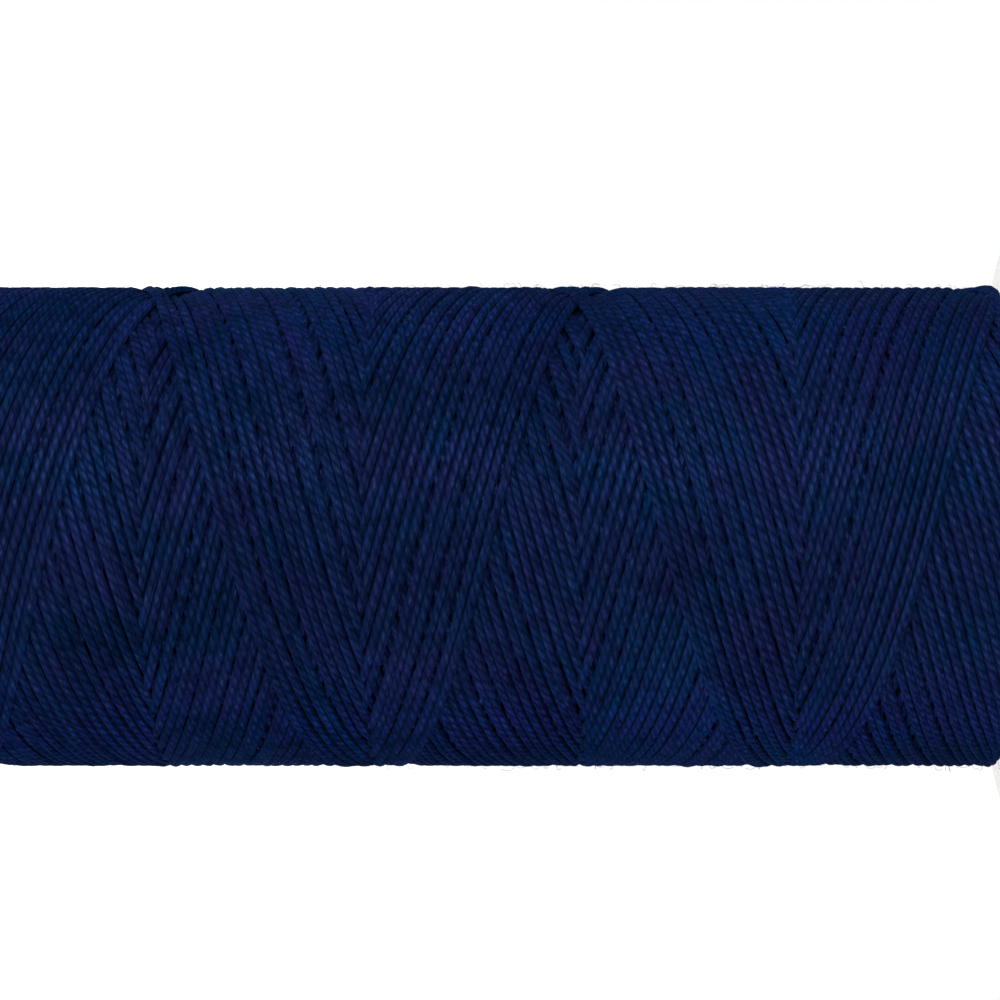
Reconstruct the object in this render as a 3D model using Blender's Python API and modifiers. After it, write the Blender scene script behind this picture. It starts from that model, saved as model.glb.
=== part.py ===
"""A small cross-wound spool of sewing thread with a snap cap, standing on its lower flange.

Metres, +Z up along the spool's axis, origin at the centre of the foot.
A plastic core tube is closed by a lower flange at its foot and an upper flange at its head. Each
flange has a spigot pressed into the tube. The snap cap's split sleeve slides in the upper spigot,
and lifts by CAP_TRAVEL to let the end of the thread into the gap under its skirt.
"""

import math

import bmesh
import bpy
from mathutils import Vector

# Driving dimensions
WINDING_DIAMETER = 0.0195
LEAD = 0.0168
TURNS_PER_DOUBLE_TRAVERSE = 5
THREAD_DIAMETER = 0.0003
PIN_BORE_DIAMETER = 0.0075
WALL = 0.00085
FIT_GAP = 0.0003
FLANGE_OVERHANG = 0.002
CAP_TRAVEL = 0.002
SEGMENTS = 60

# Radii, from the bore outwards
BORE_RADIUS = PIN_BORE_DIAMETER / 2
SLEEVE_RADIUS = BORE_RADIUS + WALL
SPIGOT_BORE = SLEEVE_RADIUS + FIT_GAP
SPIGOT_RADIUS = SPIGOT_BORE + WALL
CORE_BORE = SPIGOT_RADIUS + FIT_GAP
CORE_RADIUS = CORE_BORE + WALL
WINDING_BORE = CORE_RADIUS + FIT_GAP
WINDING_RADIUS = WINDING_DIAMETER / 2
FLANGE_RADIUS = WINDING_RADIUS + FLANGE_OVERHANG
RIM_WIDTH = 0.00125
RIM_BORE = FLANGE_RADIUS - RIM_WIDTH
HUB_RADIUS = BORE_RADIUS + 1.2 * WALL

# Heights, from the foot upwards
RECESS_DEPTH = 0.0006
LOWER_DISC = 0.0017
UPPER_DISC = 0.0014
LOWER_DISC_TOP = RECESS_DEPTH + LOWER_DISC
WINDING_BOTTOM = LOWER_DISC_TOP + FIT_GAP
TRAVERSE = LEAD * TURNS_PER_DOUBLE_TRAVERSE / 2
WINDING_TOP = WINDING_BOTTOM + TRAVERSE + THREAD_DIAMETER
UPPER_DISC_BOTTOM = WINDING_TOP + FIT_GAP
UPPER_DISC_TOP = UPPER_DISC_BOTTOM + UPPER_DISC
SNAP_GAP = 1.5 * THREAD_DIAMETER
SKIRT_BOTTOM = UPPER_DISC_TOP + SNAP_GAP
SKIRT_HEIGHT = 0.007
CAP_TOP = SKIRT_BOTTOM + SKIRT_HEIGHT
PLATE_TOP = CAP_TOP - RECESS_DEPTH
PLATE_BOTTOM = PLATE_TOP - 0.0012

# Spigots, neck and snap fingers
SPIGOT_LENGTH = 0.008
LEAD_IN = 0.0003
SPIGOT_FOOT = UPPER_DISC_BOTTOM - SPIGOT_LENGTH
SHOULDER_DEPTH = 0.00045
SHOULDER_HEIGHT = UPPER_DISC_BOTTOM - 0.4 * SPIGOT_LENGTH
NECK_WALL = 0.0009
NECK_RADIUS = RIM_BORE - 0.0012
NECK_TOP = UPPER_DISC_TOP + 0.0025
BARB_RADIUS = SPIGOT_BORE + 0.0002
BARB_CATCH = SHOULDER_HEIGHT - CAP_TRAVEL - FIT_GAP
BARB_THICKNESS = 0.0005
FINGER_FOOT = BARB_CATCH - 0.0019
FINGER_SLOT_WIDTH = 0.0009
FINGER_SLOT_TOP = UPPER_DISC_BOTTOM

# Thread end, from the winding through the flange's notch to the neck
NOTCH_DEPTH = 0.0016
NOTCH_WIDTH = 0.0017
LAST_TURN_ANGLE = math.radians(195)
TAIL_ANGLE = math.radians(250)
TAIL_CLEARANCE = 0.00007
TAIL_STEP = math.radians(8)
NECK_WRAPS = 1.1

LABEL_THICKNESS = 0.00012
LABEL_GLUE_GAP = 0.0001


def clear_scene():
    for thing in list(bpy.data.objects):
        bpy.data.objects.remove(thing, do_unlink=True)


def new_collection(name):
    collection = bpy.data.collections.new(name)
    bpy.context.scene.collection.children.link(collection)
    return collection


def new_material(name, colour, roughness, sheen=0.0):
    material = bpy.data.materials.new(name)
    material.use_nodes = True
    shader = material.node_tree.nodes["Principled BSDF"]
    shader.inputs["Base Color"].default_value = (*colour, 1.0)
    shader.inputs["Roughness"].default_value = roughness
    shader.inputs["Metallic"].default_value = 0.0
    shader.inputs["Sheen Weight"].default_value = sheen
    return material


def shade_round(piece):
    piece.data.shade_smooth()
    piece.data.set_sharp_from_angle(angle=math.radians(35))


def turned(name, outline, material, collection):
    """A ring turned about Z. Its closed outline of (radius, height) runs down the outer side."""
    shape = bmesh.new()
    corners = [shape.verts.new((radius, 0.0, height)) for radius, height in outline]
    for index, corner in enumerate(corners):
        shape.edges.new((corners[index - 1], corner))
    mesh = bpy.data.meshes.new(name)
    shape.to_mesh(mesh)
    shape.free()
    mesh.materials.append(material)
    piece = bpy.data.objects.new(name, mesh)
    collection.objects.link(piece)
    screw = piece.modifiers.new("turn", "SCREW")
    screw.axis = "Z"
    screw.angle = math.tau
    screw.steps = SEGMENTS
    screw.render_steps = SEGMENTS
    screw.use_merge_vertices = True
    screw.merge_threshold = 0.00001
    screw.use_smooth_shade = True
    return piece


def cutter(name, shape, collection):
    mesh = bpy.data.meshes.new(name)
    shape.to_mesh(mesh)
    shape.free()
    tool = bpy.data.objects.new(name, mesh)
    tool.hide_render = True
    tool.display_type = "WIRE"
    collection.objects.link(tool)
    return tool


def cut(piece, tool):
    boolean = piece.modifiers.new(tool.name, "BOOLEAN")
    boolean.operation = "DIFFERENCE"
    boolean.solver = "EXACT"
    boolean.object = tool


def core_tube(collection):
    """Plain extruded tube that carries the winding, with a lead-in inside both ends."""
    outline = [
        (CORE_RADIUS, WINDING_TOP),
        (CORE_RADIUS, WINDING_BOTTOM),
        (CORE_BORE + LEAD_IN, WINDING_BOTTOM),
        (CORE_BORE, WINDING_BOTTOM + 2 * LEAD_IN),
        (CORE_BORE, WINDING_TOP - 2 * LEAD_IN),
        (CORE_BORE + LEAD_IN, WINDING_TOP),
    ]
    plastic = new_material("natural_core_plastic", (0.72, 0.70, 0.64), 0.45)
    turned("core_tube", outline, plastic, collection)


def lower_flange(plastic, collection):
    """Foot disc with a standing ring, a label recess, the pin bore and the lower spigot."""
    spigot_top = LOWER_DISC_TOP + SPIGOT_LENGTH
    outline = [
        (SPIGOT_RADIUS - LEAD_IN, spigot_top),
        (SPIGOT_RADIUS, spigot_top - 2 * LEAD_IN),
        (SPIGOT_RADIUS, LOWER_DISC_TOP),
        (FLANGE_RADIUS - LEAD_IN, LOWER_DISC_TOP),
        (FLANGE_RADIUS, LOWER_DISC_TOP - LEAD_IN),
        (FLANGE_RADIUS, LEAD_IN),
        (FLANGE_RADIUS - LEAD_IN, 0.0),
        (RIM_BORE, 0.0),
        (RIM_BORE, RECESS_DEPTH),
        (HUB_RADIUS, RECESS_DEPTH),
        (HUB_RADIUS, RECESS_DEPTH / 3),
        (BORE_RADIUS + LEAD_IN, RECESS_DEPTH / 3),
        (BORE_RADIUS, RECESS_DEPTH / 3 + LEAD_IN),
        (BORE_RADIUS, LOWER_DISC_TOP),
        (SPIGOT_BORE, LOWER_DISC_TOP + 2 * LEAD_IN),
        (SPIGOT_BORE, spigot_top),
    ]
    turned("lower_flange", outline, plastic, collection)


def upper_flange(plastic, collection, tools):
    """Head disc with the upper spigot below it, the neck above it and the thread notch."""
    outline = [
        (NECK_RADIUS, NECK_TOP),
        (NECK_RADIUS, UPPER_DISC_TOP),
        (FLANGE_RADIUS - LEAD_IN, UPPER_DISC_TOP),
        (FLANGE_RADIUS, UPPER_DISC_TOP - LEAD_IN),
        (FLANGE_RADIUS, UPPER_DISC_BOTTOM + LEAD_IN),
        (FLANGE_RADIUS - LEAD_IN, UPPER_DISC_BOTTOM),
        (SPIGOT_RADIUS, UPPER_DISC_BOTTOM),
        (SPIGOT_RADIUS, SPIGOT_FOOT + 2 * LEAD_IN),
        (SPIGOT_RADIUS - LEAD_IN / 2, SPIGOT_FOOT),
        (SPIGOT_BORE + SHOULDER_DEPTH, SPIGOT_FOOT),
        (SPIGOT_BORE + SHOULDER_DEPTH, SHOULDER_HEIGHT),
        (SPIGOT_BORE, SHOULDER_HEIGHT),
        (SPIGOT_BORE, UPPER_DISC_TOP),
        (NECK_RADIUS - NECK_WALL, UPPER_DISC_TOP),
        (NECK_RADIUS - NECK_WALL, NECK_TOP),
    ]
    flange = turned("upper_flange", outline, plastic, collection)

    # A diamond on the rim leaves a V: its half diagonals are the notch's depth and half width.
    notch = bmesh.new()
    bmesh.ops.create_cone(
        notch,
        cap_ends=True,
        segments=4,
        radius1=NOTCH_DEPTH,
        radius2=NOTCH_DEPTH,
        depth=3 * UPPER_DISC,
    )
    bmesh.ops.scale(notch, vec=(1.0, NOTCH_WIDTH / NOTCH_DEPTH / 2, 1.0), verts=notch.verts)
    tool = cutter("thread_notch_cutter", notch, tools)
    middle = UPPER_DISC_BOTTOM + UPPER_DISC / 2
    tool.location = around(FLANGE_RADIUS, TAIL_ANGLE, middle)
    tool.rotation_euler.z = TAIL_ANGLE
    cut(flange, tool)


def snap_cap(plastic, collection, tools):
    """Cap with a skirt, a label recess and a sleeve that ends in four barbed fingers."""
    outline = [
        (FLANGE_RADIUS - LEAD_IN, CAP_TOP),
        (FLANGE_RADIUS, CAP_TOP - LEAD_IN),
        (FLANGE_RADIUS, SKIRT_BOTTOM + LEAD_IN),
        (FLANGE_RADIUS - LEAD_IN, SKIRT_BOTTOM),
        (RIM_BORE, SKIRT_BOTTOM),
        (RIM_BORE, PLATE_BOTTOM),
        (SLEEVE_RADIUS, PLATE_BOTTOM),
        (SLEEVE_RADIUS, BARB_CATCH),
        (BARB_RADIUS, BARB_CATCH),
        (BARB_RADIUS, BARB_CATCH - BARB_THICKNESS),
        (SLEEVE_RADIUS - LEAD_IN, FINGER_FOOT),
        (BORE_RADIUS, FINGER_FOOT),
        (BORE_RADIUS, PLATE_TOP + RECESS_DEPTH / 3),
        (BORE_RADIUS + LEAD_IN, PLATE_TOP + 2 * RECESS_DEPTH / 3),
        (HUB_RADIUS, PLATE_TOP + 2 * RECESS_DEPTH / 3),
        (HUB_RADIUS, PLATE_TOP),
        (RIM_BORE, PLATE_TOP),
        (RIM_BORE, CAP_TOP),
    ]
    cap = turned("snap_cap", outline, plastic, collection)
    slot_foot = FINGER_FOOT - 2 * FINGER_SLOT_WIDTH
    for index in range(2):
        slot = bmesh.new()
        bmesh.ops.create_cube(slot, size=1.0)
        size = (3 * BARB_RADIUS, FINGER_SLOT_WIDTH, FINGER_SLOT_TOP - slot_foot)
        bmesh.ops.scale(slot, vec=size, verts=slot.verts)
        tool = cutter(f"finger_slot_cutter_{index + 1}", slot, tools)
        tool.location.z = (FINGER_SLOT_TOP + slot_foot) / 2
        tool.rotation_euler.z = math.radians(45 + 90 * index)
        cut(cap, tool)
    return cap


def thread_package(collection):
    """The winding, as a solid with the shoulders that the reversing thread leaves at its ends."""
    shoulder = 2 * THREAD_DIAMETER
    outline = [
        (WINDING_RADIUS - shoulder, WINDING_TOP),
        (WINDING_RADIUS, WINDING_TOP - shoulder),
        (WINDING_RADIUS, WINDING_BOTTOM + shoulder),
        (WINDING_RADIUS - shoulder, WINDING_BOTTOM),
        (WINDING_BORE, WINDING_BOTTOM),
        (WINDING_BORE, WINDING_TOP),
    ]
    cotton = new_material("navy_cotton", (0.004, 0.010, 0.044), 0.75, sheen=0.3)
    turned("thread_package", outline, cotton, collection)


def around(radius, angle, height):
    return Vector((radius * math.cos(angle), radius * math.sin(angle), height))


def smooth_route(corners, steps):
    """Points on a Catmull-Rom curve through the corners, with the given steps to each stretch."""
    ends = [2 * corners[0] - corners[1], *corners, 2 * corners[-1] - corners[-2]]
    route = []
    for before, start, end, after in zip(ends, ends[1:], ends[2:], ends[3:]):
        for step in range(steps):
            t = step / steps
            route.append(
                0.5
                * (
                    2 * start
                    + (end - before) * t
                    + (2 * before - 5 * start + 4 * end - after) * t**2
                    + (3 * start - before - 3 * end + after) * t**3
                )
            )
    return [*route, corners[-1]]


def thread_tail(collection):
    """The thread's end: off the winding, up through the notch, under the skirt, round the neck."""
    radius = THREAD_DIAMETER / 2
    on_winding = WINDING_RADIUS + radius + TAIL_CLEARANCE
    on_neck = NECK_RADIUS + radius + TAIL_CLEARANCE
    in_notch = FLANGE_RADIUS - 0.45 * NOTCH_DEPTH
    in_gap = UPPER_DISC_TOP + SNAP_GAP / 2
    at_top = WINDING_TOP - 1.5 * THREAD_DIAMETER
    reaches_neck = TAIL_ANGLE + math.radians(48)

    corners = []
    for degrees in (80, 60, 40, 20):
        height = WINDING_TOP - 2 * THREAD_DIAMETER - LEAD * degrees / 360
        corners.append(around(on_winding, LAST_TURN_ANGLE - math.radians(degrees), height))
    halfway = on_winding + 0.35 * (in_notch - on_winding)
    corners += [
        around(on_winding, LAST_TURN_ANGLE, at_top),
        around(on_winding, TAIL_ANGLE - math.radians(36), at_top),
        around(on_winding, TAIL_ANGLE - math.radians(20), at_top),
        around(halfway, TAIL_ANGLE - math.radians(9), at_top),
        around(in_notch, TAIL_ANGLE, UPPER_DISC_BOTTOM + 0.15 * UPPER_DISC),
        around(in_notch, TAIL_ANGLE, UPPER_DISC_TOP - 0.25 * UPPER_DISC),
        around(in_notch, TAIL_ANGLE + math.radians(1.6), in_gap),
    ]
    for share in (0.2, 0.4, 0.6, 0.8, 1.0):
        angle = TAIL_ANGLE + share * (reaches_neck - TAIL_ANGLE)
        corners.append(around(in_notch + share * (on_neck - in_notch), angle, in_gap))
    route = smooth_route(corners, 4)

    wraps = round(NECK_WRAPS * math.tau / TAIL_STEP)
    for step in range(1, wraps + 1):
        height = in_gap + 2.2 * THREAD_DIAMETER * step * TAIL_STEP / math.tau
        route.append(around(on_neck, reaches_neck + step * TAIL_STEP, height))

    curve = bpy.data.curves.new("thread_tail", "CURVE")
    curve.dimensions = "3D"
    curve.bevel_depth = radius
    curve.bevel_resolution = 2
    curve.use_fill_caps = True
    spline = curve.splines.new("POLY")
    spline.points.add(len(route) - 1)
    for point, place in zip(spline.points, route):
        point.co = (*place, 1.0)
    curve.materials.append(bpy.data.materials["navy_cotton"])
    collection.objects.link(bpy.data.objects.new("thread_tail", curve))


def label(name, bottom, paper, collection):
    """A die-cut paper ring that lies in a recess, between the hub and the rim."""
    inner = HUB_RADIUS + FIT_GAP
    outer = RIM_BORE - FIT_GAP
    top = bottom + LABEL_THICKNESS
    outline = [(outer, top), (outer, bottom), (inner, bottom), (inner, top)]
    return turned(name, outline, paper, collection)


def hang_on_slide(pieces, collection):
    """The pieces that lift with the cap hang on an empty that stands on the sliding axis."""
    slide = bpy.data.objects.new("snap_cap_slide", None)
    slide.empty_display_size = FLANGE_RADIUS
    collection.objects.link(slide)
    for piece in pieces:
        piece.parent = slide


def main():
    clear_scene()
    spool = new_collection("spool_of_thread")
    tools = new_collection("cutters")
    plastic = new_material("white_plastic", (0.82, 0.81, 0.78), 0.32)
    paper = new_material("label_paper", (0.80, 0.77, 0.70), 0.6)

    core_tube(spool)
    lower_flange(plastic, spool)
    upper_flange(plastic, spool, tools)
    thread_package(spool)
    thread_tail(spool)
    label("lower_label", RECESS_DEPTH - LABEL_GLUE_GAP - LABEL_THICKNESS, paper, spool)
    cap = snap_cap(plastic, spool, tools)
    cap_label = label("upper_label", PLATE_TOP + LABEL_GLUE_GAP, paper, spool)
    hang_on_slide([cap, cap_label], spool)
    bpy.context.view_layer.update()
    for piece in spool.objects:
        if piece.type == "MESH":
            shade_round(piece)


main()
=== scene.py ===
import math

import bmesh
import bpy
import numpy as np
from mathutils import Matrix, Vector


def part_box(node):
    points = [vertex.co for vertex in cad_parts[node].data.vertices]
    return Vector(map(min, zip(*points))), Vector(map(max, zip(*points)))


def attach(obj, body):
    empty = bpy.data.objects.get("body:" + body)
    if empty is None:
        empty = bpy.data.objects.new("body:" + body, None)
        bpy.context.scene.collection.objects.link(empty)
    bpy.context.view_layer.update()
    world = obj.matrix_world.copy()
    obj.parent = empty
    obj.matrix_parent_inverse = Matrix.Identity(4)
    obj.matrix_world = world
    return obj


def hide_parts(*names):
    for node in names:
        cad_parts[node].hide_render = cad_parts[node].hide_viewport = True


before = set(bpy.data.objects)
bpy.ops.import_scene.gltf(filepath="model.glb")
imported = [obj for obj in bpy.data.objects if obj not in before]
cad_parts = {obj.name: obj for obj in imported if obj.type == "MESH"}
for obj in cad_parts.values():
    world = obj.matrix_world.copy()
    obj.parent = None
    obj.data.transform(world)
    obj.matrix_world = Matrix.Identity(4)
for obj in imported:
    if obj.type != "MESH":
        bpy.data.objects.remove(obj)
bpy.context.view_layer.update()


# --- Core tube -----------------------------------------------------------------------------
# The tube that the thread is wound on, extruded in natural-coloured plastic and sawn to length.
# Only its bore shows, between the two spigots that are pressed into its ends.
core_low, core_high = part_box("core_tube")
TUBE_WALL = 0.00085
TUBE_LEAD_IN = 0.0003
TUBE_ROUNDING = 0.00005
GRAIN_HEIGHT = 0.00002
ROUND_STEPS = 144
CRISP_ANGLE = math.radians(30)
WELD_DISTANCE = 1e-7


def turned(outline, soften):
    """A closed ring spun from an outline of (radius, height), with its corners softened."""
    shape = bmesh.new()
    corners = [shape.verts.new((radius, 0.0, height)) for radius, height in outline]
    sides = [shape.edges.new((corners[i - 1], corner)) for i, corner in enumerate(corners)]
    bmesh.ops.spin(
        shape,
        geom=corners + sides,
        axis=(0.0, 0.0, 1.0),
        cent=(0.0, 0.0, 0.0),
        angle=math.tau,
        steps=ROUND_STEPS,
        use_merge=True,
    )
    bmesh.ops.remove_doubles(shape, verts=shape.verts, dist=WELD_DISTANCE)
    bmesh.ops.recalc_face_normals(shape, faces=shape.faces)
    soften_corners(shape, soften)
    return shape


def soften_corners(shape, width):
    """Rounds off every edge that is sharper than CRISP_ANGLE."""
    crisp = [edge for edge in shape.edges if edge.calc_face_angle(0.0) > CRISP_ANGLE]
    bmesh.ops.bevel(
        shape,
        geom=crisp,
        offset=width,
        offset_type="OFFSET",
        segments=3,
        profile=0.5,
        affect="EDGES",
        material=-1,
        clamp_overlap=True,
    )


def made_piece(name, shape, material, body):
    """The bmesh as a finished piece, shaded round, on its body and in its material slot."""
    mesh = bpy.data.meshes.new(name)
    shape.to_mesh(mesh)
    shape.free()
    mesh.materials.append(material)
    mesh.shade_smooth()
    mesh.set_sharp_from_angle(angle=CRISP_ANGLE)
    piece = bpy.data.objects.new(name, mesh)
    bpy.context.scene.collection.objects.link(piece)
    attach(piece, body)
    return piece


def add_node(tree, kind, inputs=None, **settings):
    """A shader node; an input is given a value, or the socket that feeds it."""
    node = tree.nodes.new(f"ShaderNode{kind}")
    for name, value in settings.items():
        setattr(node, name, value)
    for name, value in (inputs or {}).items():
        if isinstance(value, bpy.types.NodeSocket):
            tree.links.new(value, node.inputs[name])
        else:
            node.inputs[name].default_value = value
    return node


def maths(tree, operation, first, second=0.0, third=0.0):
    """One step of arithmetic on values that change over the surface."""
    inputs = {0: first, 1: second, 2: third}
    return add_node(tree, "Math", inputs, operation=operation).outputs[0]


def noise(tree, place, scale, detail=3.0, rough=0.55):
    """Cloudy variation with no direction, from 0 to 1."""
    inputs = {"Vector": place, "Scale": scale, "Detail": detail, "Roughness": rough}
    return add_node(tree, "TexNoise", inputs).outputs["Fac"]


def spread(tree, value, low, high, start=0.3, end=0.7):
    """The value from start to end, spread over low to high."""
    inputs = {"Value": value, 1: start, 2: end, 3: low, 4: high}
    return add_node(tree, "MapRange", inputs).outputs[0]


def mixed(tree, share, first, second, blend="MIX"):
    """The first colour blended with the second by a share from 0 to 1."""
    node = add_node(tree, "Mix", data_type="RGBA", blend_type=blend)
    for socket, value in (("Factor_Float", share), ("A_Color", first), ("B_Color", second)):
        target = next(s for s in node.inputs if s.identifier == socket)
        if isinstance(value, bpy.types.NodeSocket):
            tree.links.new(value, target)
        else:
            target.default_value = value
    return next(s for s in node.outputs if s.identifier == "Result_Color")


def handled_surface():
    """Moulded plastic after handling: flow shade, dulled patches, fine scuffs and grain."""
    group = bpy.data.node_groups.new("handled surface", "ShaderNodeTree")
    face = group.interface
    face.new_socket("Grain Scale", in_out="INPUT", socket_type="NodeSocketFloat")
    face.new_socket("Gloss", in_out="INPUT", socket_type="NodeSocketFloat")
    face.new_socket("Shade", in_out="OUTPUT", socket_type="NodeSocketFloat")
    face.new_socket("Roughness", in_out="OUTPUT", socket_type="NodeSocketFloat")
    face.new_socket("Height", in_out="OUTPUT", socket_type="NodeSocketFloat")
    given = group.nodes.new("NodeGroupInput")
    place = add_node(group, "TexCoord").outputs["Object"]
    flow = noise(group, place, 160.0, 2.0)
    patches = noise(group, place, 420.0, 5.0, 0.65)
    stretched = add_node(group, "Mapping", {"Vector": place, "Scale": (900.0, 900.0, 9000.0)})
    scuffs = noise(group, stretched.outputs[0], 1.0, 2.0)
    grain = noise(group, place, given.outputs["Grain Scale"], 2.0)
    scuffed = spread(group, scuffs, 0.0, 0.16, 0.60, 0.75)
    dulled = spread(group, patches, -0.04, 0.10)
    rough = maths(group, "ADD", given.outputs["Gloss"], maths(group, "ADD", dulled, scuffed))
    given_out = group.nodes.new("NodeGroupOutput")
    group.links.new(spread(group, flow, 0.0, 1.0), given_out.inputs["Shade"])
    group.links.new(rough, given_out.inputs["Roughness"])
    height = maths(group, "MULTIPLY_ADD", scuffs, 0.25, grain)
    group.links.new(height, given_out.inputs["Height"])
    return group


def moulded_plastic(name, light, dark, gloss, grain_scale, bump):
    """A plastic whose colour drifts between light and dark, with the handled surface's finish."""
    material = bpy.data.materials.new(name)
    material.use_nodes = True
    tree = material.node_tree
    shader = tree.nodes["Principled BSDF"]
    finish = tree.nodes.new("ShaderNodeGroup")
    finish.node_tree = bpy.data.node_groups.get("handled surface") or handled_surface()
    finish.inputs["Grain Scale"].default_value = grain_scale
    finish.inputs["Gloss"].default_value = gloss
    colour = mixed(tree, finish.outputs["Shade"], (*dark, 1.0), (*light, 1.0))
    tree.links.new(colour, shader.inputs["Base Color"])
    tree.links.new(finish.outputs["Roughness"], shader.inputs["Roughness"])
    relief = {"Strength": bump, "Distance": GRAIN_HEIGHT, "Height": finish.outputs["Height"]}
    tree.links.new(add_node(tree, "Bump", relief).outputs[0], shader.inputs["Normal"])
    shader.inputs["IOR"].default_value = 1.5
    return material


core_plastic = moulded_plastic(
    "core_plastic", (0.70, 0.67, 0.60), (0.62, 0.59, 0.52), 0.45, 9000.0, 0.25
)
core_bore = core_high.x - TUBE_WALL
core_shape = turned(
    [
        (core_high.x, core_high.z),
        (core_high.x, core_low.z),
        (core_bore + TUBE_LEAD_IN, core_low.z),
        (core_bore, core_low.z + 2 * TUBE_LEAD_IN),
        (core_bore, core_high.z - 2 * TUBE_LEAD_IN),
        (core_bore + TUBE_LEAD_IN, core_high.z),
    ],
    TUBE_ROUNDING,
)
core = made_piece("core", core_shape, core_plastic, "spool_body")
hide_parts("core_tube")


# --- Lower flange --------------------------------------------------------------------------
# The foot, injection moulded in white polystyrene. A standing ring and a hub frame the recess for
# the label; the spigot above is pressed into the core tube, and the bore takes the spool pin.
foot_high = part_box("lower_flange")[1]
FLANGE_RADIUS = foot_high.x
WALL = 0.00085
BORE_RADIUS = 0.00375
FIT_GAP = 0.0003
EASE = 0.0003
RIM_WIDTH = 0.00125
RIM_DRAFT = 0.0001
FACE_SLOPE_WIDTH = 0.0035
FACE_SLOPE = 0.00015
RIM_BORE = FLANGE_RADIUS - RIM_WIDTH
HUB_RADIUS = BORE_RADIUS + 1.2 * WALL
SPIGOT_BORE = BORE_RADIUS + WALL + FIT_GAP
SPIGOT_RADIUS = SPIGOT_BORE + WALL
RECESS_DEPTH = 0.0006
DISC_TOP = core_low.z - FIT_GAP
RIM_ROUNDING = 0.00014

white_plastic = moulded_plastic(
    "white_plastic", (0.72, 0.712, 0.685), (0.665, 0.655, 0.62), 0.28, 14000.0, 0.18
)
foot_shape = turned(
    [
        (SPIGOT_RADIUS - EASE, foot_high.z),
        (SPIGOT_RADIUS, foot_high.z - 2 * EASE),
        (SPIGOT_RADIUS, DISC_TOP),
        (FLANGE_RADIUS - FACE_SLOPE_WIDTH, DISC_TOP),
        (FLANGE_RADIUS, DISC_TOP - FACE_SLOPE),
        (FLANGE_RADIUS, 0.0),
        (RIM_BORE, 0.0),
        (RIM_BORE + RIM_DRAFT, RECESS_DEPTH),
        (HUB_RADIUS, RECESS_DEPTH),
        (HUB_RADIUS, RECESS_DEPTH / 3),
        (BORE_RADIUS + EASE, RECESS_DEPTH / 3),
        (BORE_RADIUS, RECESS_DEPTH / 3 + EASE),
        (BORE_RADIUS, DISC_TOP),
        (SPIGOT_BORE, DISC_TOP + 2 * EASE),
        (SPIGOT_BORE, foot_high.z),
    ],
    RIM_ROUNDING,
)
foot = made_piece("foot_flange", foot_shape, white_plastic, "spool_body")
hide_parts("lower_flange")


# --- Winding -------------------------------------------------------------------------------
# Navy spun cotton, wound crosswise at a constant lead. Each double traverse takes five turns and
# a little more, so a new wrap lies one pitch beside the last, and 42 of them close a full layer.
# Nothing holds the thread but its tension: every wrap is laid taut over those already there.
winding_low, winding_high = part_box("thread_package")
WINDING_RADIUS = winding_high.x
THREAD = 0.0003
TRAVERSE_LOW = winding_low.z + THREAD / 2
TRAVERSE_HIGH = winding_high.z - THREAD / 2
TRAVERSE = TRAVERSE_HIGH - TRAVERSE_LOW
TURNS = 5
LEAD = 2 * TRAVERSE / TURNS
WRAPS_TO_CLOSE = 42.2
LAST_TOP_ANGLE = math.radians(195)
END_LEAVES_BEFORE_TOP = math.radians(80)
WOUND_WRAPS = 134
KEPT_WRAPS = 64
GUIDE_CORNER = 0.005

# How a strand lies: its flattened height, how far it beds into those below as a share of its
# thickness, what is left of its height where it stands proud, and its drift to either side.
FLATTENING = 0.78
BEDDING = 0.05
PRESSED = 0.3
WANDER = 0.000055
WANDER_CELLS = 90
WRAP_WANDER = 0.6
STIFF_CELLS = 5
SETTLE_EVERY = 2
SETTLE_WIDTH = 0.0005
TOP_PERCENTILE = 80

# The grid that the package's surface is kept on while it is wound, and the strands made from it.
CELLS_ROUND = 612
CELL_ALONG = 0.00006
END_CELLS = 8
CELLS_TO_A_POINT = 6
WRAPS_TO_A_PIECE = 16
SOFT_THICKNESS = 1.25 * THREAD
SLUB_SIZE = 0.05
SLUB_POINTS = 3
STRAND_START = 0.1
DYE_RUNS = ((18, 0.22), (4, 0.10))
UNDER_DEPTH = 1.8 * THREAD
UNDER_ROUNDING = 0.00005
# The first two are the dye's tones; the third is a painted highlight colour for the strands'
# crests.
TEAL_NAVY = (0.0013, 0.0128, 0.0515)
PLUM_NAVY = (0.0066, 0.0091, 0.0505)
HIGHLIGHT_NAVY = (0.036, 0.053, 0.130)

rng = np.random.default_rng(7)
rows = int(TRAVERSE / CELL_ALONG) + 2 * END_CELLS
cell_angle = math.tau / CELLS_ROUND
lay_angle = math.atan(LEAD / (math.tau * WINDING_RADIUS))
bend = math.cos(lay_angle) ** 2 / WINDING_RADIUS
step_length = cell_angle * WINDING_RADIUS / math.cos(lay_angle)
reach = int(THREAD / 2 / math.cos(lay_angle) / CELL_ALONG) + 1
side_cells = np.arange(-reach, reach + 1)


def strand_top(offset):
    """Height of a strand's surface over its middle at an offset across it, or -1 beside it."""
    across = np.abs(offset) * math.cos(lay_angle) * 2 / THREAD
    height = FLATTENING * THREAD / 2 * np.sqrt(np.clip(1 - across**2, 0, None))
    return np.where(across <= 1, height, -1.0)


def laid_taut(supports):
    """A taut strand over its supports: it bends over the high ones and runs straight between."""
    along = np.arange(len(supports)) * step_length
    flat = supports - bend * along**2 / 2
    touching = []
    for index, height in enumerate(flat):
        while len(touching) > 1:
            first, second = touching[-2:]
            rise = (flat[second] - flat[first]) * (index - first)
            if rise > (height - flat[first]) * (second - first):
                break
            touching.pop()
        touching.append(index)
    spans = np.interp(np.arange(len(flat)), touching, flat[touching])
    return spans + bend * along**2 / 2


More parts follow.
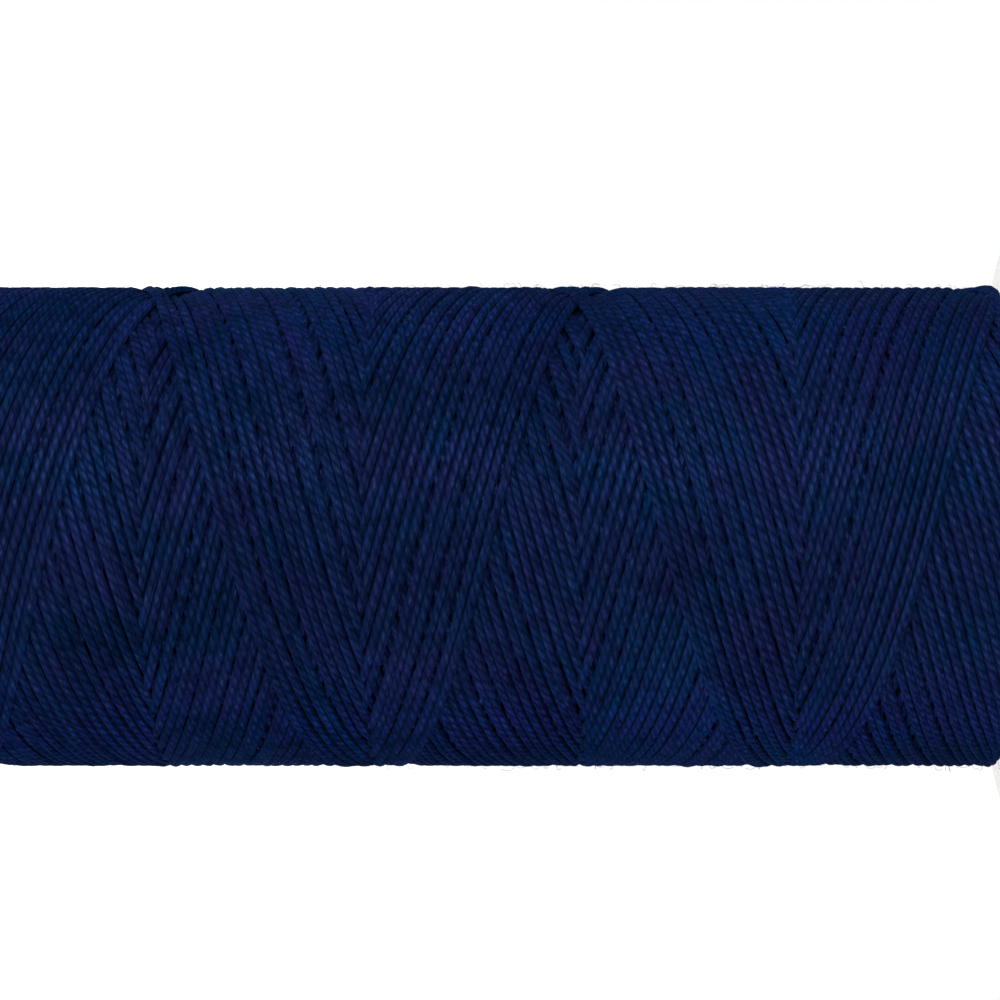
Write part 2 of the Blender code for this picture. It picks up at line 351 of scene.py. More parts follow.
def guide_travel(share):
    """Height of the thread guide over a double traverse, with its turning points rounded off."""
    from_low = np.abs((share + 0.5) % 1.0 - 0.5)
    for_end = (from_low**2 / GUIDE_CORNER + GUIDE_CORNER) / 2
    from_low = np.where(from_low < GUIDE_CORNER, for_end, from_low)
    from_high = 0.5 - from_low
    for_end = (from_high**2 / GUIDE_CORNER + GUIDE_CORNER) / 2
    from_high = np.where(from_high < GUIDE_CORNER, for_end, from_high)
    return TRAVERSE * (1 - 2 * from_high)


def slow_wander(count, knot_cells, size):
    """A smooth random sideways drift along a strand."""
    knots = rng.normal(0.0, size, count // knot_cells + 3)
    place = np.arange(count) / knot_cells
    before = place.astype(int)
    share = place - before
    share = share * share * (3 - 2 * share)
    return knots[before] * (1 - share) + knots[before + 1] * share


def excess_build(surface):
    """The broad rise and fall of the package's surface, which the thread's pressure levels."""
    margin = 4 * int(SETTLE_WIDTH / CELL_ALONG)
    wide = np.pad(surface, ((0, 0), (margin, margin)), mode="reflect")
    round_waves = np.fft.fftfreq(wide.shape[0], cell_angle * WINDING_RADIUS)
    along_waves = np.fft.rfftfreq(wide.shape[1], CELL_ALONG)
    waves = round_waves[:, None] ** 2 + along_waves[None, :] ** 2
    keep = np.exp(-2 * (math.pi * SETTLE_WIDTH) ** 2 * waves)
    broad = np.fft.irfft2(np.fft.rfft2(wide) * keep, wide.shape)[:, margin:-margin]
    return broad - broad.mean()


surface = np.zeros((CELLS_ROUND, rows))
settled = np.zeros_like(surface)
wrap_cells = round(CELLS_ROUND * (TURNS + 1 / WRAPS_TO_CLOSE))
top_cell = round(LAST_TOP_ANGLE / cell_angle)
travel = guide_travel(np.arange(wrap_cells) / wrap_cells)
halves = (slice(0, wrap_cells // 2), slice(wrap_cells // 2, None))
stiffness = np.hanning(2 * STIFF_CELLS + 1)
stiffness /= stiffness.sum()
wraps = []
end_height = 0.0
for wrap in range(WOUND_WRAPS + 1):
    start = top_cell - wrap_cells // 2 - (WOUND_WRAPS - 1 - wrap) * wrap_cells
    turned_cells = start + np.arange(wrap_cells)
    column = turned_cells % CELLS_ROUND
    drift = slow_wander(wrap_cells, WANDER_CELLS, WANDER)
    drift += rng.normal(0.0, WRAP_WANDER * WANDER)
    height = travel + drift * np.clip(4 * np.minimum(travel, TRAVERSE - travel) / LEAD, 0, 1)
    row = height / CELL_ALONG + END_CELLS
    near = np.round(row).astype(int)[:, None] + side_cells
    over = strand_top((near - row[:, None]) * CELL_ALONG)
    lie = np.empty(wrap_cells)
    for half in halves:
        under = surface[column[half, None], near[half]]
        supports = np.where(over[half] >= 0, under + over[half], 0.0).max(axis=1)
        supports[0] = end_height
        path = laid_taut(supports)
        path = np.convolve(np.pad(path, STIFF_CELLS, mode="edge"), stiffness, mode="valid")
        path = path - BEDDING * THREAD
        end_height = path[-1]
        crown = np.where(over[half] >= 0, path[:, None] + over[half], 0.0)
        surface[column[half, None], near[half]] = np.maximum(under, crown)
        lie[half] = path
    wraps.append((turned_cells * cell_angle, height, lie + settled[column, near[:, reach]]))
    if wrap % SETTLE_EVERY == 0:
        excess = excess_build(surface)
        surface -= excess
        settled += excess

middle_rows = slice(rows // 8, -rows // 8)
package_top = np.percentile(surface[:, middle_rows], TOP_PERCENTILE)

for wrap, (angle, height, lie) in enumerate(wraps):
    column = np.round(angle / cell_angle).astype(int) % CELLS_ROUND
    row = np.round(height / CELL_ALONG).astype(int) + END_CELLS
    proud = lie - settled[column, row] - package_top + THREAD / 2
    proud = np.where(proud > 0, PRESSED * proud, proud)
    wraps[wrap] = (angle, height + TRAVERSE_LOW, WINDING_RADIUS - SOFT_THICKNESS / 2 + proud)


def strand_tubes(name, runs, thickness, resolution, material):
    """Round strands along runs of (angle, height, distance from the axis), as one piece.

    The UV map holds the length along each strand in millimetres and the share of the way round
    it. The attribute dye_take says how much dye a stretch took, and crest is 1 on the outside of
    the strand and 0 from its flanks inwards."""
    curve = bpy.data.curves.new(name, "CURVE")
    curve.dimensions = "3D"
    curve.bevel_depth = thickness / 2
    curve.bevel_resolution = resolution
    curve.use_fill_caps = False
    lengths = []
    dye = []
    for angle, height, distance in runs:
        points = np.ones((len(angle), 4))
        points[:, 0] = distance * np.cos(angle)
        points[:, 1] = distance * np.sin(angle)
        points[:, 2] = height
        spline = curve.splines.new("POLY")
        spline.points.add(len(points) - 1)
        spline.points.foreach_set("co", points.ravel())
        slubs = 1 + slow_wander(len(points), SLUB_POINTS, SLUB_SIZE)
        spline.points.foreach_set("radius", slubs)
        steps = np.linalg.norm(np.diff(points[:, :3], axis=0), axis=1)
        lengths.append(np.concatenate([[rng.random() * STRAND_START], steps]).cumsum() * 1000)
        dye.append(0.5 + sum(slow_wander(len(points), knots, size) for knots, size in DYE_RUNS))
    holder = bpy.data.objects.new(name, curve)
    bpy.context.scene.collection.objects.link(holder)
    depsgraph = bpy.context.evaluated_depsgraph_get()
    mesh = bpy.data.meshes.new_from_object(holder.evaluated_get(depsgraph))
    bpy.data.objects.remove(holder)
    bpy.data.curves.remove(curve)
    while mesh.uv_layers:
        mesh.uv_layers.remove(mesh.uv_layers[0])

    sides = len(mesh.vertices) // sum(len(length) for length in lengths)
    vertex = np.empty(len(mesh.loops), int)
    mesh.loops.foreach_get("vertex_index", vertex)
    along = np.repeat(np.concatenate(lengths), sides)[vertex]
    around = (vertex % sides / sides).reshape(-1, 4)
    over_seam = np.ptp(around, axis=1) > 0.5
    around[over_seam[:, None] & (around < 0.5)] += 1.0
    places = np.stack([along, around.ravel()], axis=1).astype(np.float32)
    mesh.uv_layers.new(name="strand").data.foreach_set("uv", places.ravel())
    take = np.repeat(np.clip(np.concatenate(dye), 0, 1), sides).astype(np.float32)
    mesh.attributes.new("dye_take", "FLOAT", "POINT").data.foreach_set("value", take)
    # crest also serves the cotton as the mask for its painted highlights and painted fill light.
    spots = np.empty(len(mesh.vertices) * 3)
    mesh.vertices.foreach_get("co", spots)
    rings = spots.reshape(-1, sides, 3)
    centres = rings.mean(axis=1, keepdims=True)
    outward = centres * (1, 1, 0) / np.linalg.norm(centres[..., :2], axis=-1, keepdims=True)
    crest = np.clip(((rings - centres) * outward).sum(axis=-1) * 2 / thickness, 0, 1)
    crest = crest.astype(np.float32).ravel()
    mesh.attributes.new("crest", "FLOAT", "POINT").data.foreach_set("value", crest)
    mesh.materials.clear()

    closed = bmesh.new()
    closed.from_mesh(mesh)
    bpy.data.meshes.remove(mesh)
    ends = [edge for edge in closed.edges if edge.is_boundary]
    bmesh.ops.holes_fill(closed, edges=ends, sides=0)
    return made_piece(name, closed, material, "spool_body")


def dyed_cotton():
    """Three-ply cotton: twisted plies, fibres along them and a dye that took unevenly, with painted
    shade, fill light and highlights.
    """
    material = bpy.data.materials.new("navy_cotton")
    material.use_nodes = True
    tree = material.node_tree
    shader = tree.nodes["Principled BSDF"]
    strand = add_node(tree, "UVMap", uv_map="strand").outputs[0]
    parts = add_node(tree, "SeparateXYZ", {0: strand})
    along, around = parts.outputs[0], parts.outputs[1]
    place = add_node(tree, "TexCoord").outputs["Object"]

    # Three plies round the strand, each passing a given side every 0.5 mm.
    lay = maths(tree, "MULTIPLY_ADD", along, 2.0, maths(tree, "MULTIPLY", around, 3.0))
    ply = maths(tree, "ABSOLUTE", maths(tree, "SINE", maths(tree, "MULTIPLY", lay, math.pi)))
    fibre_place = {0: maths(tree, "MULTIPLY", along, 2.2), 1: maths(tree, "MULTIPLY", around, 12.0)}
    fibres = noise(tree, add_node(tree, "CombineXYZ", fibre_place).outputs[0], 1.5, 4.0, 0.6)
    mottle_place = {0: maths(tree, "MULTIPLY", along, 1.6), 1: maths(tree, "MULTIPLY", around, 1.0)}
    mottle = noise(tree, add_node(tree, "CombineXYZ", mottle_place).outputs[0], 1.0, 2.0, 0.6)

    # Painted fill light lightens the flanks and dims the crests, so the furrows between the strands
    # don't go dark.
    crest = add_node(tree, "Attribute", attribute_name="crest").outputs["Fac"]
    painted_furrow_light = spread(tree, crest, 1.60, 0.84, 0.15, 0.95)

    take = add_node(tree, "Attribute", attribute_name="dye_take").outputs["Fac"]
    patch = spread(tree, noise(tree, place, 320.0, 2.0), 0.0, 1.0, 0.38, 0.62)
    hue = maths(tree, "MULTIPLY_ADD", take, 0.45, maths(tree, "MULTIPLY", patch, 0.55))
    dye = mixed(tree, hue, (*TEAL_NAVY, 1.0), (*PLUM_NAVY, 1.0))
    depth = spread(tree, mottle, 0.60, 1.40, 0.28, 0.72)
    # Painted highlight: a paler navy on the crests where the plies bulge, broken up by the fibres.
    painted_crest_highlight = maths(tree, "MULTIPLY", spread(tree, fibres, 0.0, 0.8, 0.50, 0.75), ply)
    painted_crest_highlight = maths(tree, "MULTIPLY", painted_crest_highlight, maths(tree, "POWER", crest, 4.0))
    colour = mixed(tree, painted_crest_highlight, dye, (*HIGHLIGHT_NAVY, 1.0))
    drift = spread(tree, noise(tree, place, 170.0, 2.0), 0.80, 1.20)
    # Painted shade: the colour darkens in the grooves between the plies; mottle and drift are
    # random tone.
    shade = maths(tree, "MULTIPLY", depth, spread(tree, ply, 0.66, 1.12, 0.0, 0.9))
    shade = maths(tree, "MULTIPLY", shade, maths(tree, "MULTIPLY", painted_furrow_light, drift))
    shades = add_node(tree, "CombineColor", {0: shade, 1: shade, 2: shade}).outputs[0]
    tree.links.new(mixed(tree, 1.0, colour, shades, "MULTIPLY"), shader.inputs["Base Color"])

    tree.links.new(spread(tree, fibres, 0.34, 0.50), shader.inputs["Roughness"])
    relief = maths(tree, "MULTIPLY_ADD", fibres, 0.6, ply)
    bump = {"Strength": 0.7, "Distance": 0.000022, "Height": relief}
    tree.links.new(add_node(tree, "Bump", bump).outputs[0], shader.inputs["Normal"])
    shader.inputs["IOR"].default_value = 1.45
    shader.inputs["Specular IOR Level"].default_value = 0.0
    shader.inputs["Specular Tint"].default_value = (0.02, 0.07, 0.20, 1.0)
    shader.inputs["Metallic"].default_value = 0.38
    shader.inputs["Sheen Weight"].default_value = 0.02
    shader.inputs["Sheen Roughness"].default_value = 0.3
    shader.inputs["Sheen Tint"].default_value = (0.20, 0.75, 1.0, 1.0)
    return material


navy_cotton = dyed_cotton()

# The last wrap is unfinished: it stops short of the top, and the thread's end goes on from it.
last_angle, last_height, last_distance = wraps[WOUND_WRAPS]
turn_cell = wrap_cells // 2
tail_cell = turn_cell - round(END_LEAVES_BEFORE_TOP / cell_angle)
wraps[WOUND_WRAPS] = tuple(values[: tail_cell + 1] for values in wraps[WOUND_WRAPS])
on_top = [np.concatenate(rows_of) for rows_of in zip(*wraps[WOUND_WRAPS - KEPT_WRAPS :])]
kept = [np.append(values[:-1:CELLS_TO_A_POINT], values[-1]) for values in on_top]
piece_points = wrap_cells * WRAPS_TO_A_PIECE // CELLS_TO_A_POINT
winding = []
for start in range(0, len(kept[0]) - 1, piece_points):
    run = [values[start : start + piece_points + 1] for values in kept]
    name = f"thread_wraps_{len(winding) + 1}"
    winding.append(strand_tubes(name, [run], SOFT_THICKNESS, 2, navy_cotton))

# The older wraps under them, seen only as darkness between the strands.
under_radius = WINDING_RADIUS - UNDER_DEPTH
under_shape = turned(
    [
        (under_radius, winding_high.z - THREAD),
        (under_radius, winding_low.z + THREAD),
        (under_radius - 2 * THREAD, winding_low.z + THREAD / 2),
        (core_high.x + FIT_GAP, winding_low.z + THREAD / 2),
        (core_high.x + FIT_GAP, winding_high.z - THREAD / 2),
        (under_radius - 2 * THREAD, winding_high.z - THREAD / 2),
    ],
    UNDER_ROUNDING,
)
made_piece("thread_under_wraps", under_shape, navy_cotton, "spool_body")
for piece in winding:
    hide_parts("thread_package")


# --- Upper flange --------------------------------------------------------------------------
# The head, moulded like the foot. Its spigot is pressed into the core tube and ends in a shoulder
# that catches the cap's fingers; the neck above keeps the thread's end, which the notch lets up.
head_low, head_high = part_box("upper_flange")
HEAD_THICKNESS = 0.0014
HEAD_BOTTOM = core_high.z + FIT_GAP
HEAD_TOP = HEAD_BOTTOM + HEAD_THICKNESS
NECK_INSET = 0.0012
NECK_WALL = 0.0009
NECK_RADIUS = RIM_BORE - NECK_INSET
NECK_BORE = NECK_RADIUS - NECK_WALL
CATCH_DEPTH = 0.00045
CATCH_BORE = SPIGOT_BORE + CATCH_DEPTH
SHOULDER_DEPTH = 0.0032
SHOULDER = HEAD_BOTTOM - SHOULDER_DEPTH
HEAD_ROUNDING = 0.0001
NOTCH_DEPTH = 0.0016
NOTCH_WIDTH = 0.0017
NOTCH_ROUNDING = 0.00035
TAIL_ANGLE = math.radians(250)
MEETING_GAP = 0.000002


def cut_away(piece, tool):
    """Takes the tool's shape out of the piece for good."""
    mesh = bpy.data.meshes.new("tool")
    tool.to_mesh(mesh)
    tool.free()
    holder = bpy.data.objects.new("tool", mesh)
    bpy.context.scene.collection.objects.link(holder)
    boolean = piece.modifiers.new("cut", "BOOLEAN")
    boolean.object = holder
    boolean.solver = "EXACT"
    depsgraph = bpy.context.evaluated_depsgraph_get()
    cut_mesh = bpy.data.meshes.new_from_object(piece.evaluated_get(depsgraph))
    piece.modifiers.clear()
    piece.data = cut_mesh
    welded = bmesh.new()
    welded.from_mesh(cut_mesh)
    bmesh.ops.remove_doubles(welded, verts=welded.verts, dist=MEETING_GAP)
    bmesh.ops.dissolve_degenerate(welded, edges=welded.edges, dist=MEETING_GAP)
    welded.to_mesh(cut_mesh)
    welded.free()
    bpy.data.objects.remove(holder)
    bpy.data.meshes.remove(mesh)


head_shape = turned(
    [
        (NECK_RADIUS, head_high.z),
        (NECK_RADIUS, HEAD_TOP),
        (FLANGE_RADIUS, HEAD_TOP),
        (FLANGE_RADIUS, HEAD_BOTTOM + FACE_SLOPE),
        (FLANGE_RADIUS - FACE_SLOPE_WIDTH, HEAD_BOTTOM),
        (SPIGOT_RADIUS, HEAD_BOTTOM),
        (SPIGOT_RADIUS, head_low.z + 2 * EASE),
        (SPIGOT_RADIUS - EASE / 2, head_low.z),
        (CATCH_BORE, head_low.z),
        (CATCH_BORE, SHOULDER),
        (SPIGOT_BORE, SHOULDER),
        (SPIGOT_BORE, HEAD_TOP),
        (NECK_BORE, HEAD_TOP),
        (NECK_BORE, head_high.z),
    ],
    HEAD_ROUNDING,
)
head = made_piece("head_flange", head_shape, white_plastic, "spool_body")
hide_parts("upper_flange")
notch = bmesh.new()
bmesh.ops.create_cone(
    notch,
    cap_ends=True,
    segments=4,
    radius1=NOTCH_DEPTH,
    radius2=NOTCH_DEPTH,
    depth=3 * HEAD_THICKNESS,
)
upright = [edge for edge in notch.edges if edge.verts[0].co.z != edge.verts[1].co.z]
bmesh.ops.bevel(
    notch,
    geom=upright,
    offset=NOTCH_ROUNDING,
    offset_type="OFFSET",
    segments=4,
    profile=0.5,
    affect="EDGES",
    material=-1,
)
bmesh.ops.scale(notch, vec=(1.0, NOTCH_WIDTH / NOTCH_DEPTH / 2, 1.0), verts=notch.verts)
notch_middle = Vector((FLANGE_RADIUS, 0.0, (HEAD_BOTTOM + HEAD_TOP) / 2))
bmesh.ops.translate(notch, vec=notch_middle, verts=notch.verts)
turn_to_notch = Matrix.Rotation(TAIL_ANGLE, 3, "Z")
bmesh.ops.rotate(notch, cent=(0, 0, 0), matrix=turn_to_notch, verts=notch.verts)
cut_away(head, notch)


# --- Thread end ----------------------------------------------------------------------------
# The end of the same navy thread. It goes on from the last wrap to the top of the winding, up
# through the notch, under the cap's skirt, and once round the neck, where the cap keeps it.
CAP_BOTTOM = HEAD_TOP + 1.5 * THREAD
LOOSENESS = 0.00007
ABOVE = THREAD / 2 + LOOSENESS
IN_NOTCH = FLANGE_RADIUS - 0.45 * NOTCH_DEPTH
IN_GAP = (HEAD_TOP + CAP_BOTTOM) / 2
AT_TOP = winding_high.z - 1.5 * THREAD
NECK_REACHED = math.radians(48)
NECK_TURN = math.radians(8)
NECK_STEPS = 50
NECK_RISE = 2.2 * THREAD
POINTS_TO_A_CORNER = 5


def smooth_run(corners, steps):
    """(angle, height, distance) points on a smooth curve through the corners."""
    corners = np.array(corners)
    ends = np.vstack([2 * corners[0] - corners[1], corners, 2 * corners[-1] - corners[-2]])
    shares = np.arange(steps)[:, None] / steps
    run = []
    for before, start, end, after in zip(ends, ends[1:], ends[2:], ends[3:]):
        curve = (3 * (start - end) + after - before) * shares**3
        curve += (2 * before - 5 * start + 4 * end - after) * shares**2
        run.append(start + ((end - before) * shares + curve) / 2)
    return np.vstack([*run, corners[-1:]])


turns_before = round((last_angle[turn_cell] - LAST_TOP_ANGLE) / math.tau)
notch_angle = TAIL_ANGLE + math.tau * turns_before
lying = [
    [last_angle[cell], min(last_height[cell], AT_TOP), last_distance[cell]]
    for cell in range(tail_cell, turn_cell, 12)
]
halfway = WINDING_RADIUS + ABOVE + 0.35 * (IN_NOTCH - WINDING_RADIUS - ABOVE)
neck_start = notch_angle + NECK_REACHED
lifting = [
    [notch_angle - math.radians(36), AT_TOP, WINDING_RADIUS - THREAD / 2],
    [notch_angle - math.radians(20), AT_TOP, WINDING_RADIUS - THREAD / 2],
    [notch_angle - math.radians(9), AT_TOP, halfway],
    [notch_angle, HEAD_BOTTOM + 0.15 * (HEAD_TOP - HEAD_BOTTOM), IN_NOTCH],
    [notch_angle, HEAD_TOP - 0.25 * (HEAD_TOP - HEAD_BOTTOM), IN_NOTCH],
    [notch_angle + math.radians(1.6), IN_GAP, IN_NOTCH],
]
for share in (0.2, 0.4, 0.6, 0.8, 1.0):
    angle = notch_angle + share * NECK_REACHED
    lifting.append([angle, IN_GAP, IN_NOTCH + share * (NECK_RADIUS + ABOVE - IN_NOTCH)])
for step in range(1, NECK_STEPS):
    angle = neck_start + step * NECK_TURN
    height = IN_GAP + NECK_RISE * step * NECK_TURN / math.tau
    lifting.append([angle, height, NECK_RADIUS + ABOVE])
end_run = smooth_run(lying + lifting, POINTS_TO_A_CORNER).T
thread_end = strand_tubes("thread_end", [end_run], THREAD, 2, navy_cotton)
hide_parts("thread_tail")


# --- Loose fibres --------------------------------------------------------------------------
# Ends of single cotton fibres, a few hundredths of the thread's thickness, which the spinning left
# standing off it. They are rooted in the outer wraps and follow their lay.
FIBRES = 1500
FIBRE = 0.000011
FIBRE_REACH = 0.10
FIBRE_RISE = 0.00016
FIBRE_LIFT = 0.00012
LEAST_LIFT = 0.00003
FIBRE_ROOT = 0.4 * THREAD
FIBRE_ARCH = 2.2
fibre_runs = []
for _ in range(FIBRES):
    spot_angle = rng.uniform(0, math.tau)
    spot_height = rng.uniform(TRAVERSE_LOW, TRAVERSE_HIGH)
    reach_round = rng.uniform(-FIBRE_REACH, FIBRE_REACH)
    rise = rng.normal(0.0, FIBRE_RISE)
    lift = abs(rng.normal(0.0, FIBRE_LIFT)) + LEAST_LIFT
    share = np.linspace(0.0, 1.0, 6)
    height = spot_height + (rise + LEAD * reach_round / math.tau) * share + rise * share**2
    distance = WINDING_RADIUS - FIBRE_ROOT + (lift + FIBRE_ROOT) * np.sin(share * FIBRE_ARCH)
    height = np.clip(height, TRAVERSE_LOW, TRAVERSE_HIGH)
    fibre_runs.append((spot_angle + reach_round * share, height, distance))
strand_tubes("loose_fibres", fibre_runs, FIBRE, 0, navy_cotton)


# --- Snap cap ------------------------------------------------------------------------------
# White polystyrene cap that lifts 2 mm and snaps back. A fluted skirt gives fingers a hold, and
# the sleeve below ends in four barbed fingers that spring past the shoulder in the upper spigot.
cap_low, cap_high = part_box("snap_cap")
SLEEVE_RADIUS = BORE_RADIUS + WALL
PLATE_TOP = cap_high.z - RECESS_DEPTH
PLATE_THICKNESS = 0.0012
PLATE_BOTTOM = PLATE_TOP - PLATE_THICKNESS
BARB_OVERHANG = 0.0002
BARB_RADIUS = SPIGOT_BORE + BARB_OVERHANG
BARB_HEIGHT = 0.0019
BARB_CATCH = cap_low.z + BARB_HEIGHT
BARB_LAND = 0.0005
CAP_ROUNDING = 0.0001
FLUTE_MARGIN = 0.0011
FLUTE_DEPTH = 0.00022
FLUTE_INSET = 0.00012
SLOT_WIDTH = 0.0009
SLOT_CLEARANCE = 0.0018
SLOT_ANGLES = (45, 135)

cap_shape = turned(
    [
        (FLANGE_RADIUS, cap_high.z),
        (FLANGE_RADIUS, cap_high.z - FLUTE_MARGIN),
        (FLANGE_RADIUS, CAP_BOTTOM + FLUTE_MARGIN),
        (FLANGE_RADIUS, CAP_BOTTOM),
        (RIM_BORE, CAP_BOTTOM),
        (RIM_BORE, PLATE_BOTTOM),
        (SLEEVE_RADIUS, PLATE_BOTTOM),
        (SLEEVE_RADIUS, BARB_CATCH),
        (BARB_RADIUS, BARB_CATCH),
        (BARB_RADIUS, BARB_CATCH - BARB_LAND),
        (SLEEVE_RADIUS - EASE, cap_low.z),
        (BORE_RADIUS, cap_low.z),
        (BORE_RADIUS, PLATE_TOP + RECESS_DEPTH / 3),
        (BORE_RADIUS + EASE, PLATE_TOP + 2 * RECESS_DEPTH / 3),
        (HUB_RADIUS, PLATE_TOP + 2 * RECESS_DEPTH / 3),
        (HUB_RADIUS, PLATE_TOP),
        (RIM_BORE + RIM_DRAFT, PLATE_TOP),
        (RIM_BORE, cap_high.z),
    ],
    CAP_ROUNDING,
)
skirt = [
    face
    for face in cap_shape.faces
    if face.calc_center_median().xy.length > FLANGE_RADIUS - CAP_ROUNDING / 2
    and abs(face.calc_center_median().z - (cap_high.z + CAP_BOTTOM) / 2) < FLUTE_MARGIN
]
skirt.sort(key=lambda face: math.atan2(face.calc_center_median().y, face.calc_center_median().x))
bmesh.ops.inset_individual(
    cap_shape, faces=skirt[::2], thickness=FLUTE_INSET, depth=-FLUTE_DEPTH
)
cap = made_piece("cap", cap_shape, white_plastic, "cap_body")
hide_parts("snap_cap")
slot_top = HEAD_BOTTOM
slot_foot = cap_low.z - SLOT_CLEARANCE
for slot_angle in SLOT_ANGLES:
    slot = bmesh.new()
    bmesh.ops.create_cube(slot, size=1.0)
    size = (3 * BARB_RADIUS, SLOT_WIDTH, slot_top - slot_foot)
    bmesh.ops.scale(slot, vec=size, verts=slot.verts)
    bmesh.ops.translate(slot, vec=(0.0, 0.0, (slot_top + slot_foot) / 2), verts=slot.verts)
    slot_turn = Matrix.Rotation(math.radians(slot_angle), 3, "Z")
    bmesh.ops.rotate(slot, cent=(0, 0, 0), matrix=slot_turn, verts=slot.verts)
    cut_away(cap, slot)


# --- Labels --------------------------------------------------------------------------------
# Die-cut rings of coated paper, glued into the recesses at both ends. The print is plain rings in
# the thread's navy, so that the colour can be read from the end of the spool.
LABEL_RINGS = ((0.0056, 0.00575), (0.0076, 0.0094), (0.0097, 0.00985))
LABEL_ROUNDING = 0.00002
LABEL_INK = (0.006, 0.014, 0.058, 1.0)


def printed_paper():
    """Coated stock with rings of ink, ragged by the paper's fibres."""
    material = bpy.data.materials.new("label_paper")
    material.use_nodes = True
    tree = material.node_tree
    shader = tree.nodes["Principled BSDF"]
    place = add_node(tree, "TexCoord").outputs["Object"]
    parts = add_node(tree, "SeparateXYZ", {0: place})
    flat = add_node(tree, "CombineXYZ", {0: parts.outputs[0], 1: parts.outputs[1]}).outputs[0]
    radius = add_node(tree, "VectorMath", {0: flat}, operation="LENGTH").outputs["Value"]
    fibre = noise(tree, place, 5200.0, 4.0)
    ragged = maths(tree, "MULTIPLY_ADD", fibre, 0.00006, radius)
    ink = 0.0
    for inner, outer in LABEL_RINGS:
        inside = maths(tree, "GREATER_THAN", ragged, inner)
        ring = maths(tree, "MULTIPLY", inside, maths(tree, "LESS_THAN", ragged, outer))
        ink = maths(tree, "MAXIMUM", ring, ink)
    stock = mixed(tree, spread(tree, fibre, 0.0, 1.0), (0.74, 0.70, 0.61, 1), (0.84, 0.81, 0.74, 1))
    thin = maths(tree, "MULTIPLY", ink, spread(tree, fibre, 0.90, 1.0, 0.2, 0.5))
    printed = mixed(tree, thin, stock, LABEL_INK)
    tree.links.new(printed, shader.inputs["Base Color"])
    rough = maths(tree, "MULTIPLY_ADD", ink, -0.12, spread(tree, fibre, 0.55, 0.68))
    tree.links.new(rough, shader.inputs["Roughness"])
    bump = {"Strength": 0.25, "Distance": 0.00001, "Height": fibre}
    tree.links.new(add_node(tree, "Bump", bump).outputs[0], shader.inputs["Normal"])
    return material


label_paper = printed_paper()
for node, name, body in (
    ("lower_label", "foot_label", "spool_body"),
    ("upper_label", "cap_label", "cap_body"),
):
    low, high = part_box(node)
    inner = HUB_RADIUS + FIT_GAP
    ring = [(high.x, high.z), (high.x, low.z), (inner, low.z), (inner, high.z)]
    label = made_piece(name, turned(ring, LABEL_ROUNDING), label_paper, body)
    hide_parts(node)


# --- Studio --------------------------------------------------------------------------------
# A pale floor under an even white sky, with soft lamps round the winding: one beside the camera,
# a broad panel on each side that lights the winding's edges, and one overhead for the cap.
SKY_LIGHT = 0.14
FLOOR_RADIUS = 2.5
FLOOR_GLOW = 0.90
world = bpy.data.worlds.new("studio")
bpy.context.scene.world = world
world.use_nodes = True
sky = world.node_tree
seen = add_node(sky, "LightPath").outputs["Is Camera Ray"]
strength = maths(sky, "MULTIPLY_ADD", seen, 1.0 - SKY_LIGHT, SKY_LIGHT)
sky.links.new(strength, sky.nodes["Background"].inputs["Strength"])
sky.nodes["Background"].inputs["Color"].default_value = (1.0, 1.0, 1.0, 1.0)
bpy.context.scene.view_settings.view_transform = "Standard"

floor_shape = bmesh.new()
bmesh.ops.create_circle(floor_shape, cap_ends=True, segments=96, radius=FLOOR_RADIUS)
floor_mesh = bpy.data.meshes.new("floor")
floor_shape.to_mesh(floor_mesh)
floor_shape.free()
floor = bpy.data.objects.new("floor", floor_mesh)
bpy.context.scene.collection.objects.link(floor)
paper_floor = bpy.data.materials.new("paper_floor")
paper_floor.use_nodes = True
floor_shader = paper_floor.node_tree.nodes["Principled BSDF"]
floor_place = add_node(paper_floor.node_tree, "TexCoord").outputs["Object"]
cloudy = spread(paper_floor.node_tree, noise(paper_floor.node_tree, floor_place, 9.0), 0.0, 1.0)
floor_colour = mixed(paper_floor.node_tree, cloudy, (0.78, 0.78, 0.78, 1), (0.82, 0.82, 0.815, 1))
paper_floor.node_tree.links.new(floor_colour, floor_shader.inputs["Base Color"])
floor_shader.inputs["Roughness"].default_value = 0.9
floor_shader.inputs["Emission Color"].default_value = (1.0, 1.0, 1.0, 1.0)
floor_shader.inputs["Emission Strength"].default_value = FLOOR_GLOW
floor_mesh.materials.append(paper_floor)

middle = Vector((0.0, 0.0, (TRAVERSE_LOW + TRAVERSE_HIGH) / 2))


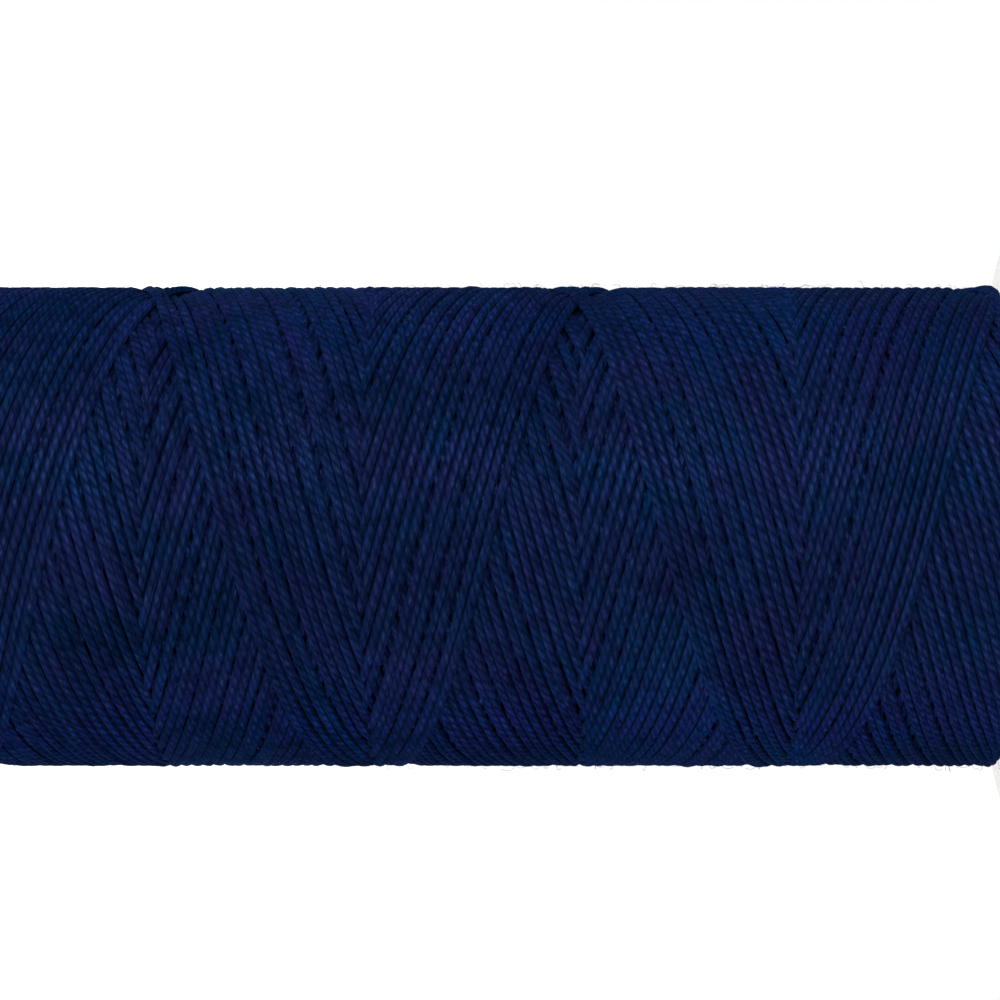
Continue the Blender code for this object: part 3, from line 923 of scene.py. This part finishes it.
def soft_lamp(name, round_angle, height, distance, width, length, power):
    """An area lamp facing the winding, at an angle about its axis and a height above its middle."""
    lamp = bpy.data.lights.new(name, "AREA")
    lamp.shape = "RECTANGLE"
    lamp.size = width
    lamp.size_y = length
    lamp.energy = power
    holder = bpy.data.objects.new(name, lamp)
    bpy.context.scene.collection.objects.link(holder)
    angle = math.radians(round_angle)
    spot = middle + Vector((distance * math.cos(angle), distance * math.sin(angle), height))
    turn = (middle - spot).to_track_quat("-Z", "Y").to_matrix().to_4x4()
    holder.matrix_world = Matrix.Translation(spot) @ turn


soft_lamp("key_strip", 237, 0.02, 0.30, 0.03, 0.14, 0.54)
soft_lamp("upper_panel", 165, 0.03, 0.28, 0.12, 0.22, 0.42)
soft_lamp("lower_panel", 12, 0.03, 0.28, 0.12, 0.22, 0.58)
soft_lamp("top_panel", 270, 0.30, 0.02, 0.30, 0.30, 0.50)

# The camera lies on its side, so that the axis runs level with the cap's end to the right. It
# looks square at the axis from a little above the middle of its view, and the shift brings the
# view back down.
VIEW_WIDTH = 0.0379377
SIGHT = 3.4 * VIEW_WIDTH
CAP_END = 0.523
SHIFT = 0.10
AXIS_BELOW = 0.0265
camera_height = TRAVERSE_HIGH + (SHIFT - CAP_END) * VIEW_WIDTH
tilt = math.atan(AXIS_BELOW * VIEW_WIDTH / SIGHT)
lens = bpy.data.cameras.new("camera")
lens.sensor_width = 36.0
lens.lens = lens.sensor_width * SIGHT / VIEW_WIDTH
lens.shift_x = -SHIFT
lens.clip_start = 0.005
lens.clip_end = 5.0
camera = bpy.data.objects.new("camera", lens)
bpy.context.scene.collection.objects.link(camera)
look = Vector((0.0, 1.0, 0.0))
right = Vector((0.0, 0.0, 1.0))
axes = Matrix((right, right.cross(look), -look)).transposed() @ Matrix.Rotation(tilt, 3, "X")
spot = Vector((0.0, -(SIGHT + WINDING_RADIUS), camera_height))
camera.matrix_world = Matrix.Translation(spot) @ axes.to_4x4()
bpy.context.scene.camera = camera
